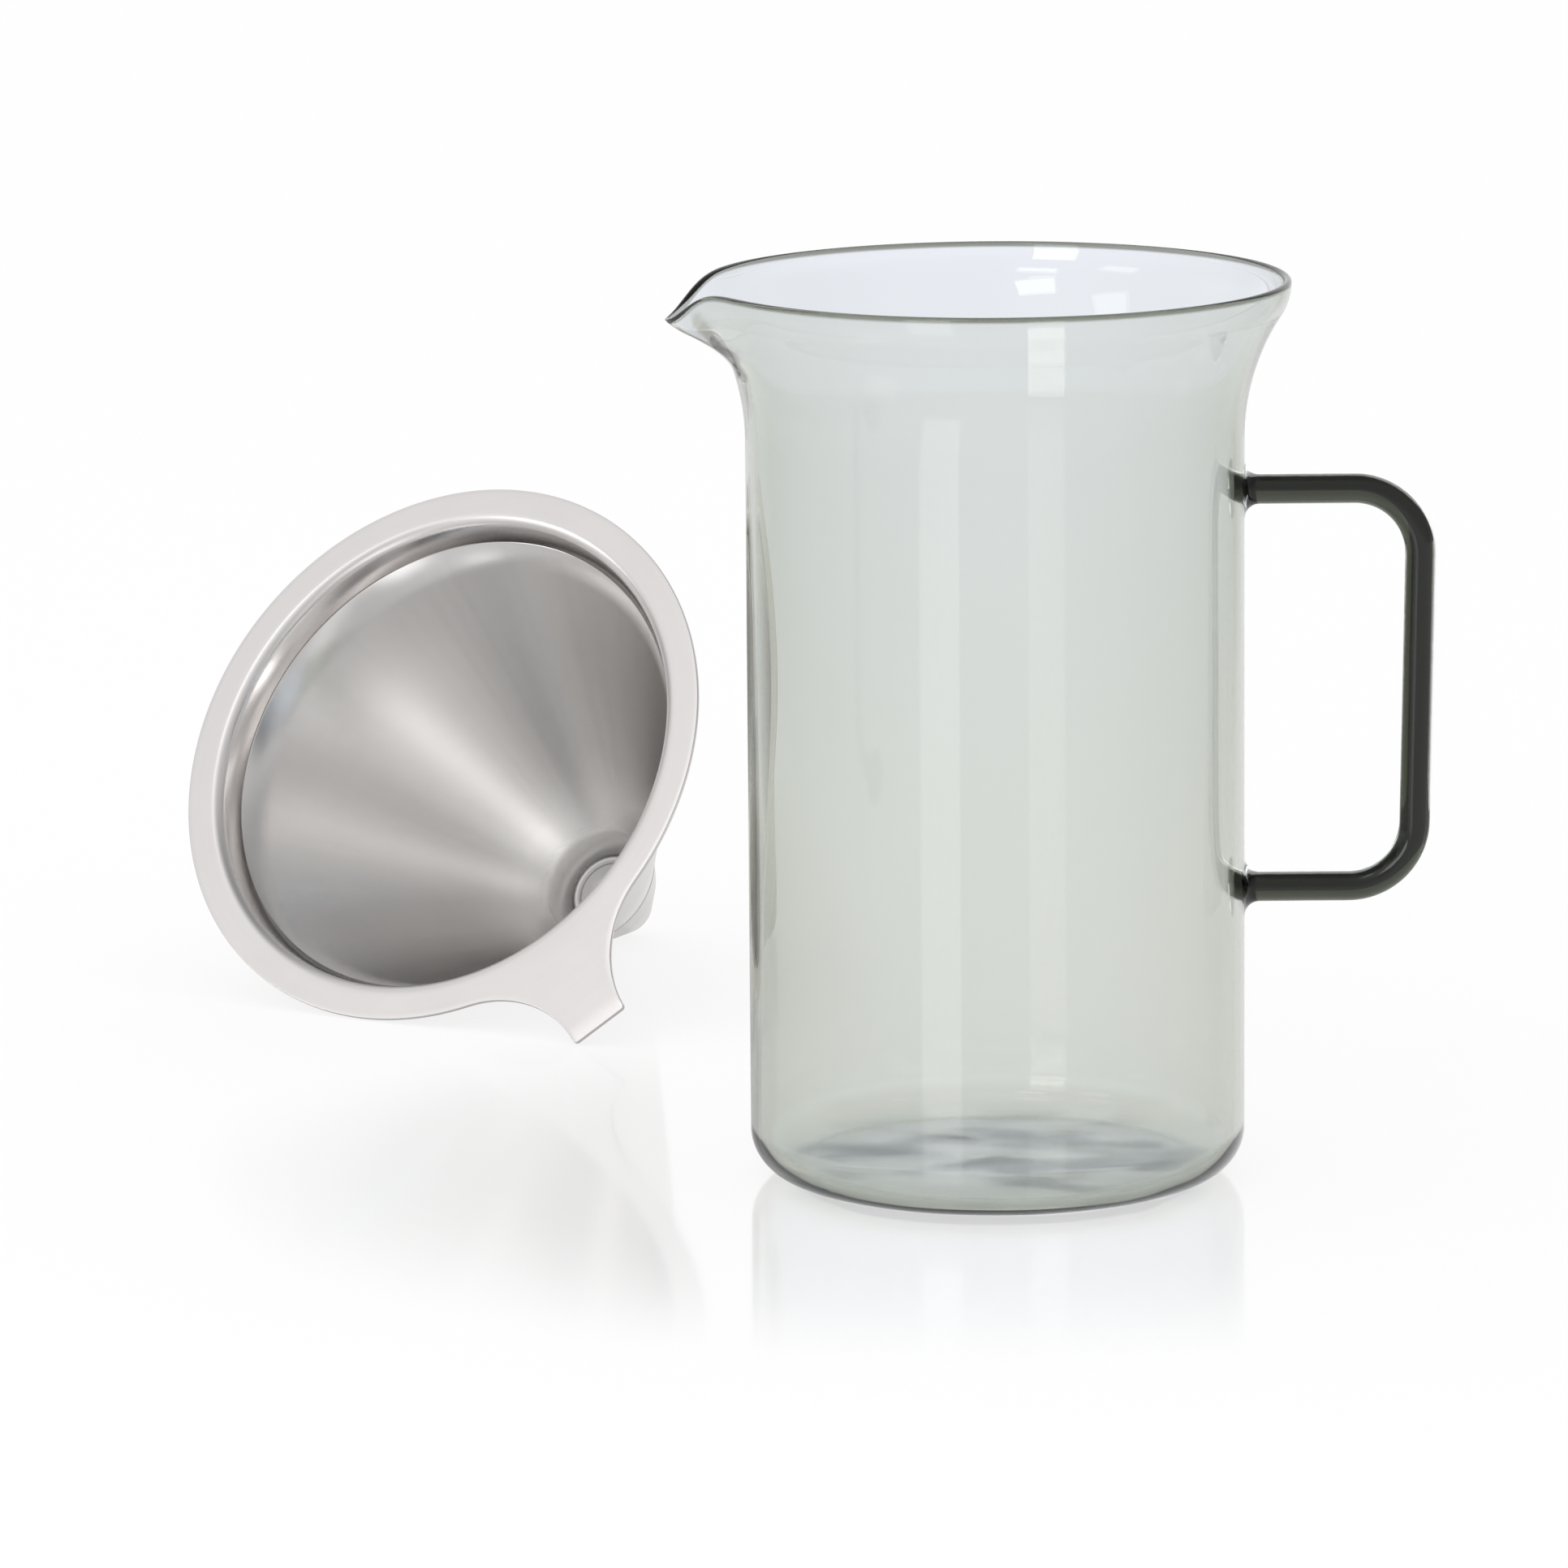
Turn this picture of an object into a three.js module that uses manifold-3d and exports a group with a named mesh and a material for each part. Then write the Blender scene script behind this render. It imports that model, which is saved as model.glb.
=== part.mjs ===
// Pour-over coffee maker: a smoky glass jug with a fused rod handle, and a
// two-walled steel cone filter that hangs in the jug's mouth and here lies beside it.
// Millimetres, +Z up. The origin is the centre of the jug's flat underside,
// the spout points along -X and the handle along +X.

import * as THREE from 'three';
import { mergeVertices } from 'three/addons/utils/BufferGeometryUtils.js';
import Module from 'manifold-3d';

const wasm = await Module();
wasm.setup();

const degrees = THREE.MathUtils.degToRad;

// Jug
const JUG_HEIGHT = 198.5;
const BODY_RADIUS = 54.5;
const GLASS_WALL = 2.2;
const BASE_THICKNESS = 3;
const BASE_CORNER_RADIUS = 10.4;
const MOUTH_FLARE = 10.2; // how far the mouth stands out beyond the body
const FLARE_RADIUS = 50;
const LIP_RADIUS = 12;

// Spout, drawn out of the lip
const SPOUT_REACH = 8.6; // beyond the mouth
const SPOUT_DROP = 8.2; // tip below the lip
const SPOUT_HEIGHT = 18.5; // how far down the wall it begins
const SPOUT_SPREAD = degrees(11.5); // half width of the dip in the lip
const SPOUT_TIP_ROUNDING = degrees(2);

// Handle
const ROD_DIAMETER = 6.7;
const HANDLE_TOP = 151.8; // height of the upper run's centre line
const HANDLE_BOTTOM = 63.4;
const FINGER_GAP = 35.4; // between the body and the upright run
const HANDLE_BEND_RADIUS = 14.5;
const HANDLE_LEAN = degrees(1.06); // the upright run leans in at its foot
const WELD_RADIUS = 6.6;
const WELD_LENGTH = 3.3;
const WELD_JOINT = 0.3;

// Filter: depths are measured down its axis from the top of the flange
const RIM_SHEET = 1;
const FLANGE_OVERHANG = 4.3; // beyond the mouth, all round
const COLLAR_CLEARANCE = 1.7; // to the inside of the lip
const COLLAR_BEND_RADIUS = 3;
const COLLAR_TAPER = degrees(20);
const COLLAR_DEPTH = 7.1;
const TAB_LENGTH = 22.5; // beyond the flange
const TAB_END_WIDTH = 14.8;
const TAB_CORNER_RADIUS = 1;
const CONE_HALF_ANGLE = degrees(30.2);
const CONE_LAP = 0.6; // outer cone's top edge stands out beyond the collar's outside
const OUTER_CONE_WALL = 0.6;
const MESH_WALL = 0.4;
const MESH_LIFT = 11.7; // lower edge of the mesh above the foot's underside
const FOOT_RADIUS = 6.15; // at the underside, before its corner is rounded
const FOOT_CUP_HEIGHT = 22.5;
const FOOT_WALL = 0.8;
const FOOT_CORNER_RADIUS = 1.5;
const CAP_SHEET = 0.5;
const CAP_BEAD_RADIUS = 0.8; // of the bead's round back, at mid sheet
const CAP_DROP = 0.5; // its floor below the mesh's lower edge
const CAP_LEDGE = 0.2; // outside the bead
const SHEET_GAP = 0.3;

// Where the filter lies: the middle of its flange, and the turn of its mouth
const FILTER_X = -129.1;
const FILTER_Y = 199.1;
const FILTER_TURN = degrees(30.7); // from -Y towards -X

// Faces round a turned piece, round the rod and along it, and along each rounding
const JUG_FACETS = 72;
const FILTER_FACETS = 64;
const TIP_FACETS = 48;
const ROD_FACETS = 14;
const ROD_STEPS = 56;
const FLARE_STEPS = 7;
const CORNER_STEPS = 5;
const EDGE_STEPS = 4;
const TAB_STEPS = 12;

const FLOOR_CORNER_RADIUS = BASE_CORNER_RADIUS - GLASS_WALL;
const MOUTH_RADIUS = BODY_RADIUS + MOUTH_FLARE;
const ROD_RADIUS = ROD_DIAMETER / 2;
const FLANGE_RADIUS = MOUTH_RADIUS + FLANGE_OVERHANG;

// Materials
function glass(color, opacity) {
  return new THREE.MeshStandardMaterial({
    color, opacity, transparent: true, roughness: 0.03, metalness: 0,
  });
}

function steel(color, roughness) {
  return new THREE.MeshStandardMaterial({ color, roughness, metalness: 1 });
}

const smokyGlass = glass(0xc4d0c9, 0.35);
const darkGlass = glass(0x343836, 0.85);
const rimSteel = steel(0xdedcda, 0.34);
const coneSteel = steel(0xc4c2be, 0.38);
const meshSteel = steel(0xb9b6b1, 0.42);
const capSteel = steel(0xdedcda, 0.3);
const footSteel = steel(0xdad8d5, 0.36);

// One closed skin: shared corners merged, and triangles with no area taken out
function closedSkin(geometry) {
  geometry.deleteAttribute('normal');
  geometry.deleteAttribute('uv');
  const skin = mergeVertices(geometry, 1e-4);
  const corners = skin.index.array;
  const kept = [];
  for (let i = 0; i < corners.length; i += 3) {
    const [a, b, c] = [corners[i], corners[i + 1], corners[i + 2]];
    if (a !== b && b !== c && c !== a) kept.push(a, b, c);
  }
  skin.setIndex(kept);
  return skin;
}

// Solids for joining and cutting
function solidOf(geometry) {
  const skin = closedSkin(geometry);
  return new wasm.Manifold(new wasm.Mesh({
    numProp: 3,
    vertProperties: new Float32Array(skin.attributes.position.array),
    triVerts: new Uint32Array(skin.index.array),
  }));
}

function geometryOf(solid) {
  const { vertProperties, triVerts } = solid.getMesh();
  const geometry = new THREE.BufferGeometry();
  geometry.setAttribute('position', new THREE.BufferAttribute(new Float32Array(vertProperties), 3));
  geometry.setIndex(new THREE.BufferAttribute(new Uint32Array(triVerts), 1));
  return geometry;
}

// Points [radius, height] on an arc, from one angle to another, both ends included
function arc([r, z], radius, from, to, steps) {
  return Array.from({ length: steps + 1 }, (_, i) => {
    const angle = from + (to - from) * i / steps;
    return [r + radius * Math.cos(angle), z + radius * Math.sin(angle)];
  });
}

// A piece turned about the Z axis from its section of [radius, height] points
function turned(section, facets) {
  const geometry = new THREE.LatheGeometry(section.map(([r, z]) => new THREE.Vector2(r, z)), facets);
  return geometry.rotateX(Math.PI / 2);
}

function turnedRing(section, facets) {
  return turned([...section, section[0]], facets);
}

function named(name, geometry, material) {
  const mesh = new THREE.Mesh(geometry, material);
  mesh.name = name;
  return mesh;
}

// The jug's wall: up the outside, over the lip and down the inside.
// The flare and the lip are two arcs that meet where the wall leans out most.
function jugSection() {
  const lean = Math.acos(1 - MOUTH_FLARE / (FLARE_RADIUS + LIP_RADIUS));
  const lipHeight = JUG_HEIGHT - GLASS_WALL / 2;
  const flareHeight = lipHeight - (FLARE_RADIUS + LIP_RADIUS) * Math.sin(lean);
  const cornerCentre = [BODY_RADIUS - BASE_CORNER_RADIUS, BASE_CORNER_RADIUS];
  const flareCentre = [BODY_RADIUS + FLARE_RADIUS, flareHeight];
  const lipCentre = [MOUTH_RADIUS - LIP_RADIUS, lipHeight];
  const edgeCentre = [MOUTH_RADIUS - GLASS_WALL / 2, lipHeight];
  const floorCentre = [
    BODY_RADIUS - GLASS_WALL - FLOOR_CORNER_RADIUS,
    BASE_THICKNESS + FLOOR_CORNER_RADIUS,
  ];
  return [
    [0, 0],
    ...arc(cornerCentre, BASE_CORNER_RADIUS, -Math.PI / 2, 0, CORNER_STEPS),
    ...arc(flareCentre, FLARE_RADIUS, Math.PI, Math.PI - lean, FLARE_STEPS),
    ...arc(lipCentre, LIP_RADIUS, -lean, 0, EDGE_STEPS).slice(1),
    ...arc(edgeCentre, GLASS_WALL / 2, 0, Math.PI, EDGE_STEPS).slice(1, -1),
    ...arc(lipCentre, LIP_RADIUS - GLASS_WALL, 0, -lean, EDGE_STEPS),
    ...arc(flareCentre, FLARE_RADIUS + GLASS_WALL, Math.PI - lean, Math.PI, FLARE_STEPS).slice(1),
    ...arc(floorCentre, FLOOR_CORNER_RADIUS, 0, -Math.PI / 2, CORNER_STEPS),
    [0, BASE_THICKNESS],
  ];
}

// Draws the spout out of the wall: in plan the lip follows the two tangents from
// the mouth's circle to the tip, and it dips towards the tip.
function drawSpout(geometry) {
  const position = geometry.attributes.position;
  const tangent = Math.acos(MOUTH_RADIUS / (MOUTH_RADIUS + SPOUT_REACH));
  for (let i = 0; i < position.count; i += 1) {
    const [x, y, z] = [position.getX(i), position.getY(i), position.getZ(i)];
    const rise = THREE.MathUtils.smoothstep(z, JUG_HEIGHT - SPOUT_HEIGHT, JUG_HEIGHT);
    const angle = Math.atan2(y, -x);
    const beak = Math.max(0, tangent - Math.hypot(angle, SPOUT_TIP_ROUNDING));
    const push = MOUTH_RADIUS * (1 / Math.cos(beak) - 1) * rise;
    const dip = SPOUT_DROP * Math.exp(-((angle / SPOUT_SPREAD) ** 2)) * rise;
    const radius = Math.hypot(x, y);
    const scale = radius > 0 ? (radius + push) / radius : 1;
    position.setXYZ(i, x * scale, y * scale, z - dip);
  }
  return geometry;
}

function glassJug() {
  const skin = closedSkin(turned(jugSection(), JUG_FACETS));
  return named('glass_jug', drawSpout(skin), smokyGlass);
}

// The handle's centre line in the XZ plane: out, round a bend, down and back
class RodLine extends THREE.Curve {
  constructor(plan) {
    super();
    this.plan = plan;
  }

  getPoint(t, target = new THREE.Vector3()) {
    const { x, y } = this.plan.getPoint(t);
    return target.set(x, 0, y);
  }
}

function handleLine() {
  const inside = BODY_RADIUS - GLASS_WALL;
  const outTop = BODY_RADIUS + FINGER_GAP + ROD_RADIUS;
  const outBottom = outTop - (HANDLE_TOP - HANDLE_BOTTOM) * Math.tan(HANDLE_LEAN);
  const topTurn = Math.PI / 2 + HANDLE_LEAN;
  const bottomTurn = Math.PI / 2 - HANDLE_LEAN;
  const topBend = outTop - HANDLE_BEND_RADIUS * Math.tan(topTurn / 2);
  const bottomBend = outBottom - HANDLE_BEND_RADIUS * Math.tan(bottomTurn / 2);
  const plan = new THREE.Path();
  plan.moveTo(inside, HANDLE_TOP);
  plan.lineTo(topBend, HANDLE_TOP);
  plan.absarc(
    topBend, HANDLE_TOP - HANDLE_BEND_RADIUS, HANDLE_BEND_RADIUS,
    Math.PI / 2, Math.PI / 2 - topTurn, true,
  );
  plan.absarc(
    bottomBend, HANDLE_BOTTOM + HANDLE_BEND_RADIUS, HANDLE_BEND_RADIUS,
    -Math.PI / 2 + bottomTurn, -Math.PI / 2, true,
  );
  plan.lineTo(inside, HANDLE_BOTTOM);
  return new RodLine(plan);
}

// The trumpet of glass where a run of the rod is fused to the wall
function weldFlare(height) {
  const bell = Array.from({ length: CORNER_STEPS + 1 }, (_, i) => {
    const angle = Math.PI / 2 * i / CORNER_STEPS;
    const radius = WELD_RADIUS - (WELD_RADIUS - ROD_RADIUS) * Math.sin(angle);
    return [radius, WELD_LENGTH * (1 - Math.cos(angle))];
  });
  const section = [[0, -GLASS_WALL], [WELD_RADIUS, -GLASS_WALL], ...bell, [0, WELD_LENGTH]];
  const geometry = turned(section, ROD_FACETS * 2);
  return geometry.rotateY(Math.PI / 2).translate(BODY_RADIUS, 0, height);
}

function glassHandle() {
  const section = new THREE.Shape().absarc(0, 0, ROD_RADIUS, 0, Math.PI * 2, false);
  const rod = new THREE.ExtrudeGeometry(section, {
    steps: ROD_STEPS, curveSegments: ROD_FACETS / 2, bevelEnabled: false, extrudePath: handleLine(),
  });
  const wallRadius = BODY_RADIUS + WELD_JOINT;
  const wall = turned([[0, 0], [wallRadius, 0], [wallRadius, JUG_HEIGHT], [0, JUG_HEIGHT]], JUG_FACETS);
  const handle = solidOf(rod)
    .add(solidOf(weldFlare(HANDLE_TOP)))
    .add(solidOf(weldFlare(HANDLE_BOTTOM)))
    .subtract(solidOf(wall));
  return named('glass_handle', geometryOf(handle), darkGlass);
}

// The rim's collar hangs inside the lip, and its bend leads out to the flat flange
const COLLAR_TOP = MOUTH_RADIUS - GLASS_WALL - COLLAR_CLEARANCE;
const BEND_CENTRE = [
  COLLAR_TOP + (COLLAR_BEND_RADIUS - RIM_SHEET) * Math.cos(COLLAR_TAPER),
  -COLLAR_BEND_RADIUS,
];

function bendArc(radius) {
  return arc(BEND_CENTRE, radius, Math.PI / 2, Math.PI - COLLAR_TAPER, CORNER_STEPS);
}

// Radius of a straight sloping wall at a depth, from a known point on it
function slopeRadius([r, z], depth, angle) {
  return r - (depth + z) * Math.tan(angle);
}

const BEND_OUTSIDE = bendArc(COLLAR_BEND_RADIUS - RIM_SHEET);
const BEND_INSIDE = bendArc(COLLAR_BEND_RADIUS);
const COLLAR_OUTSIDE = slopeRadius(BEND_OUTSIDE.at(-1), COLLAR_DEPTH, COLLAR_TAPER);
const COLLAR_INSIDE = slopeRadius(BEND_INSIDE.at(-1), COLLAR_DEPTH, COLLAR_TAPER);

// The cones hang under the collar, one in the other: their skins are all parallel
const CONE_TOP = COLLAR_DEPTH + SHEET_GAP;

function coneRadius(depth, inwards) {
  const skin = COLLAR_OUTSIDE + CONE_LAP - (depth - CONE_TOP) * Math.tan(CONE_HALF_ANGLE);
  return skin - inwards / Math.cos(CONE_HALF_ANGLE);
}

// A band of cone between two depths, its outside and inside set in from the outer cone's outside
function coneBand(top, bottom, outside, inside) {
  return [
    [coneRadius(top, outside), -top],
    [coneRadius(top, inside), -top],
    [coneRadius(bottom, inside), -bottom],
    [coneRadius(bottom, outside), -bottom],
  ];
}

// The pull tab's outline, along +X: its sides sweep out to meet the flange's edge
function tabOutline() {
  const end = FLANGE_RADIUS + TAB_LENGTH;
  const shoulder = end - TAB_CORNER_RADIUS;
  const half = TAB_END_WIDTH / 2;
  const sweep = (shoulder ** 2 + half ** 2 - FLANGE_RADIUS ** 2) / (2 * (FLANGE_RADIUS - half));
  const root = Math.atan2(half + sweep, shoulder);
  const lap = (FLANGE_RADIUS + BEND_CENTRE[0]) / 2;
  const corner = half - TAB_CORNER_RADIUS;
  const outline = new THREE.Shape();
  outline.moveTo(lap * Math.cos(root), -lap * Math.sin(root));
  outline.absarc(shoulder, -half - sweep, sweep, Math.PI - root, Math.PI / 2, true);
  outline.absarc(shoulder, -corner, TAB_CORNER_RADIUS, -Math.PI / 2, 0, false);
  outline.absarc(shoulder, corner, TAB_CORNER_RADIUS, 0, Math.PI / 2, false);
  outline.absarc(shoulder, half + sweep, sweep, -Math.PI / 2, root - Math.PI, true);
  outline.absarc(0, 0, lap, root, -root, true);
  return outline;
}

// Clock angle of the tab, from the flange's lowest point, at which the tab's corner
// comes down to the same level
function tabClock() {
  const reach = FLANGE_RADIUS + TAB_LENGTH - TAB_CORNER_RADIUS;
  const corner = TAB_END_WIDTH / 2 - TAB_CORNER_RADIUS;
  const level = (FLANGE_RADIUS - TAB_CORNER_RADIUS) / Math.hypot(reach, corner);
  return Math.acos(level) + Math.atan2(corner, reach);
}

function filterRim() {
  const section = [
    [FLANGE_RADIUS, -RIM_SHEET],
    [FLANGE_RADIUS, 0],
    ...BEND_INSIDE,
    [COLLAR_INSIDE, -COLLAR_DEPTH],
    [COLLAR_OUTSIDE, -COLLAR_DEPTH],
    ...BEND_OUTSIDE.toReversed(),
  ];
  const tab = new THREE.ExtrudeGeometry(tabOutline(), {
    depth: RIM_SHEET, curveSegments: TAB_STEPS, bevelEnabled: false,
  });
  tab.translate(0, 0, -RIM_SHEET).rotateZ(tabClock() - Math.PI / 2);
  const rim = solidOf(turnedRing(section, FILTER_FACETS)).add(solidOf(tab));
  return named('filter_rim', geometryOf(rim), rimSteel);
}

// The cone runs down until its foot has the foot's radius; the outer cone stands in
// the foot's cup, and the fine mesh lines it
const FOOT_DEPTH = (coneRadius(0, -SHEET_GAP - FOOT_WALL) - FOOT_RADIUS) / Math.tan(CONE_HALF_ANGLE);
const FOOT_FLOOR = FOOT_DEPTH - FOOT_WALL;
const MESH_DEPTH = FOOT_DEPTH - MESH_LIFT;
const MESH_OUTSIDE = OUTER_CONE_WALL + SHEET_GAP;
const MESH_INSIDE = MESH_OUTSIDE + MESH_WALL;

function filterOuterCone() {
  const section = coneBand(CONE_TOP, FOOT_FLOOR - SHEET_GAP, 0, OUTER_CONE_WALL);
  return named('filter_outer_cone', closedSkin(turnedRing(section, FILTER_FACETS)), coneSteel);
}

function filterInnerMesh() {
  const section = coneBand(CONE_TOP, MESH_DEPTH, MESH_OUTSIDE, MESH_INSIDE);
  return named('filter_inner_mesh', closedSkin(turnedRing(section, FILTER_FACETS)), meshSteel);
}

// The cup over the cone's tip: its corner is round, and the filter lies on it
const FOOT_CORNER = [
  coneRadius(FOOT_DEPTH - FOOT_CORNER_RADIUS, FOOT_CORNER_RADIUS - FOOT_WALL - SHEET_GAP),
  FOOT_CORNER_RADIUS - FOOT_DEPTH,
];

function filterFoot() {
  const top = FOOT_DEPTH - FOOT_CUP_HEIGHT;
  const section = [
    [0, -FOOT_DEPTH],
    ...arc(FOOT_CORNER, FOOT_CORNER_RADIUS, -Math.PI / 2, -CONE_HALF_ANGLE, EDGE_STEPS),
    [coneRadius(top, -SHEET_GAP - FOOT_WALL), -top],
    [coneRadius(top, -SHEET_GAP), -top],
    [coneRadius(FOOT_FLOOR, -SHEET_GAP), -FOOT_FLOOR],
    [0, -FOOT_FLOOR],
  ];
  return named('filter_foot', closedSkin(turned(section, TIP_FACETS)), footSteel);
}

// The dished disc that closes the mesh's lower end: it sits in the outer cone,
// with a round bead standing up between its edge and its floor
function filterTipCap() {
  const floor = MESH_DEPTH + CAP_DROP;
  const edge = coneRadius(floor + CAP_SHEET, OUTER_CONE_WALL + SHEET_GAP);
  const bead = [edge - CAP_LEDGE - CAP_BEAD_RADIUS - CAP_SHEET / 2, -floor];
  const under = arc(bead, CAP_BEAD_RADIUS - CAP_SHEET / 2, Math.PI, 0, CORNER_STEPS);
  const section = [
    [0, -floor - CAP_SHEET],
    ...under.map(([r, z]) => [r, z - CAP_SHEET]),
    [edge, -floor - CAP_SHEET],
    [edge, -floor],
    ...arc(bead, CAP_BEAD_RADIUS + CAP_SHEET / 2, 0, Math.PI, CORNER_STEPS),
    [0, -floor],
  ];
  return named('filter_tip_cap', closedSkin(turned(section, TIP_FACETS)), capSteel);
}

// The lying filter rests on the flange's lower edge, the tab's corner and the foot:
// its axis rises by the angle at which the flange and the foot reach the same level
function restAngle() {
  const out = FLANGE_RADIUS - FOOT_CORNER[0];
  const along = -FOOT_CORNER[1] - RIM_SHEET;
  return Math.acos(FOOT_CORNER_RADIUS / Math.hypot(out, along)) - Math.atan2(along, out);
}

function lyingFilter() {
  const rise = restAngle();
  const tilted = new THREE.Group();
  tilted.rotation.x = Math.PI / 2 - rise;
  tilted.add(filterRim(), filterOuterCone(), filterInnerMesh(), filterTipCap(), filterFoot());
  const placed = new THREE.Group();
  placed.position.set(FILTER_X, FILTER_Y, FLANGE_RADIUS * Math.cos(rise) + RIM_SHEET * Math.sin(rise));
  placed.rotation.z = -FILTER_TURN;
  placed.add(tilted);
  return placed;
}

const coffeeMaker = new THREE.Group();
coffeeMaker.add(glassJug(), glassHandle(), lyingFilter());

export default coffeeMaker;
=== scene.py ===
from math import acos, atan2, cos, exp, hypot, pi, radians, sin, sqrt, tan

import bmesh
import bpy
from mathutils import Matrix, Vector, noise


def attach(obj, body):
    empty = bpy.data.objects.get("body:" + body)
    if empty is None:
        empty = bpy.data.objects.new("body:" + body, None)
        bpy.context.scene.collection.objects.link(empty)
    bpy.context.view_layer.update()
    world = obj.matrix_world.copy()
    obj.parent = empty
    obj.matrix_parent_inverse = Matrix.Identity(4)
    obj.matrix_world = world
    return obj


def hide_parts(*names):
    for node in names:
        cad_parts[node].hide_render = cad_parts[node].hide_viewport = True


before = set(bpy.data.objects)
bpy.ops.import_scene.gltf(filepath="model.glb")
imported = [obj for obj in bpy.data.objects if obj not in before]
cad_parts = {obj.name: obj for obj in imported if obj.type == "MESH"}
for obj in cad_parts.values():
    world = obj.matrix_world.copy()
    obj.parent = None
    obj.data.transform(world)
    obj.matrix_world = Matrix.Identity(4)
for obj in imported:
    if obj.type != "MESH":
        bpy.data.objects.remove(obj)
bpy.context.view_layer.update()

MM = 0.001

# Jug, in millimetres
JUG_HEIGHT = 198.5
BODY_RADIUS = 54.5
GLASS_WALL = 2.2
MOUTH_WALL = 1.8
BASE_THICKNESS = 3.0
BASE_CORNER_RADIUS = 10.4
FLOOR_CORNER_RADIUS = 8.2
MOUTH_RADIUS = 64.7
FLARE_RADIUS = 50.0
LIP_RADIUS = 12.0
SPOUT_REACH = 8.6
SPOUT_DROP = 8.2
SPOUT_HEIGHT = 18.5
SPOUT_SPREAD = radians(11.5)
SPOUT_TIP_ROUNDING = radians(2.0)
SPOUT_FADE = 1.2
FLOOR_SWELL = 0.3
FLOOR_SWELL_SPAN = (17.0, 13.0)
FLOOR_SWELL_START = 3.1

# Handle
ROD_RADIUS = 3.35
HANDLE_TOP = 151.8
HANDLE_BOTTOM = 63.4
FINGER_GAP = 35.4
HANDLE_BEND_RADIUS = 14.5
HANDLE_LEAN = radians(1.06)
WELD_RADIUS = 6.6
WELD_LENGTH = 3.3
WELD_DEPTH = 0.5

# Filter, depths down its axis from the top of the flange
RIM_SHEET = 1.0
RIM_EDGE = 0.18
COLLAR_FOOT_ROUNDING = 0.45
FLANGE_RADIUS = 69.0
COLLAR_TOP = 60.8
COLLAR_BEND_RADIUS = 3.0
COLLAR_TAPER = radians(20)
COLLAR_DEPTH = 7.1
COLLAR_LAP = 0.4
TAB_END = 91.5
TAB_HALF_WIDTH = 7.4
TAB_CORNER_RADIUS = 1.0
CONE_HALF_ANGLE = radians(30.2)
CONE_LAP = 0.6
OUTER_CONE_WALL = 0.6
MESH_WALL = 0.4
MESH_DEPTH = 89.824
FOOT_DEPTH = 101.524
FOOT_CUP_HEIGHT = 22.5
FOOT_WALL = 0.8
FOOT_CORNER_RADIUS = 1.5
FOOT_BRIM_LENGTH = 10.0
FOOT_BRIM_EDGE = 0.06
FOOT_BRIM_SEAT = 0.02
CAP_SHEET = 0.5
CAP_BEAD_RADIUS = 0.8
CAP_DROP = 0.5
CAP_LEDGE = 0.2
SHEET_GAP = 0.3
FILTER_X = -129.1
FILTER_Y = 199.1
FILTER_TURN = radians(30.7)


# Sections and skins

def spread(start, end, steps):
    return [start + (end - start) * i / steps for i in range(steps + 1)]


def arc(centre, radius, start, end, steps):
    return [(centre[0] + radius * cos(a), centre[1] + radius * sin(a)) for a in spread(start, end, steps)]


def run(start, end, steps):
    """Points between two points of a section, both ends left out."""
    share = [i / steps for i in range(1, steps)]
    return [(start[0] + (end[0] - start[0]) * f, start[1] + (end[1] - start[1]) * f) for f in share]


def skin(name, rings, looped=False):
    """One closed mesh over rings of points in millimetres; a ring of one point is a pole."""
    shell = bmesh.new()
    rows = [[shell.verts.new(Vector(point) * MM) for point in ring] for ring in rings]
    pairs = list(zip(rows, rows[1:]))
    if looped:
        pairs.append((rows[-1], rows[0]))
    for low, high in pairs:
        count = max(len(low), len(high))
        for i in range(count):
            j = (i + 1) % count
            corners = (low[i % len(low)], low[j % len(low)], high[j % len(high)], high[i % len(high)])
            shell.faces.new(list(dict.fromkeys(corners)))
    bmesh.ops.recalc_face_normals(shell, faces=shell.faces)
    for face in shell.faces:
        face.smooth = True
    mesh = bpy.data.meshes.new(name)
    shell.to_mesh(mesh)
    shell.free()
    piece = bpy.data.objects.new(name, mesh)
    bpy.context.scene.collection.objects.link(piece)
    return piece


def turned(name, section, angles, place=Matrix.Identity(4), looped=False, reshape=None):
    """Turns a section of (radius, height) about Z, in its own frame, and puts it in place."""
    rings = []
    for radius, height in section:
        ring = []
        for angle in angles if radius > 0 else (0.0,):
            r, z = reshape(angle, radius, height) if reshape else (radius, height)
            ring.append(place @ Vector((r * cos(angle), r * sin(angle), z)))
        rings.append(ring)
    return skin(name, rings, looped)


def round_angles(count):
    return [2 * pi * i / count for i in range(count)]


# Jug: up the outside, over the lip and down the inside

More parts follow.
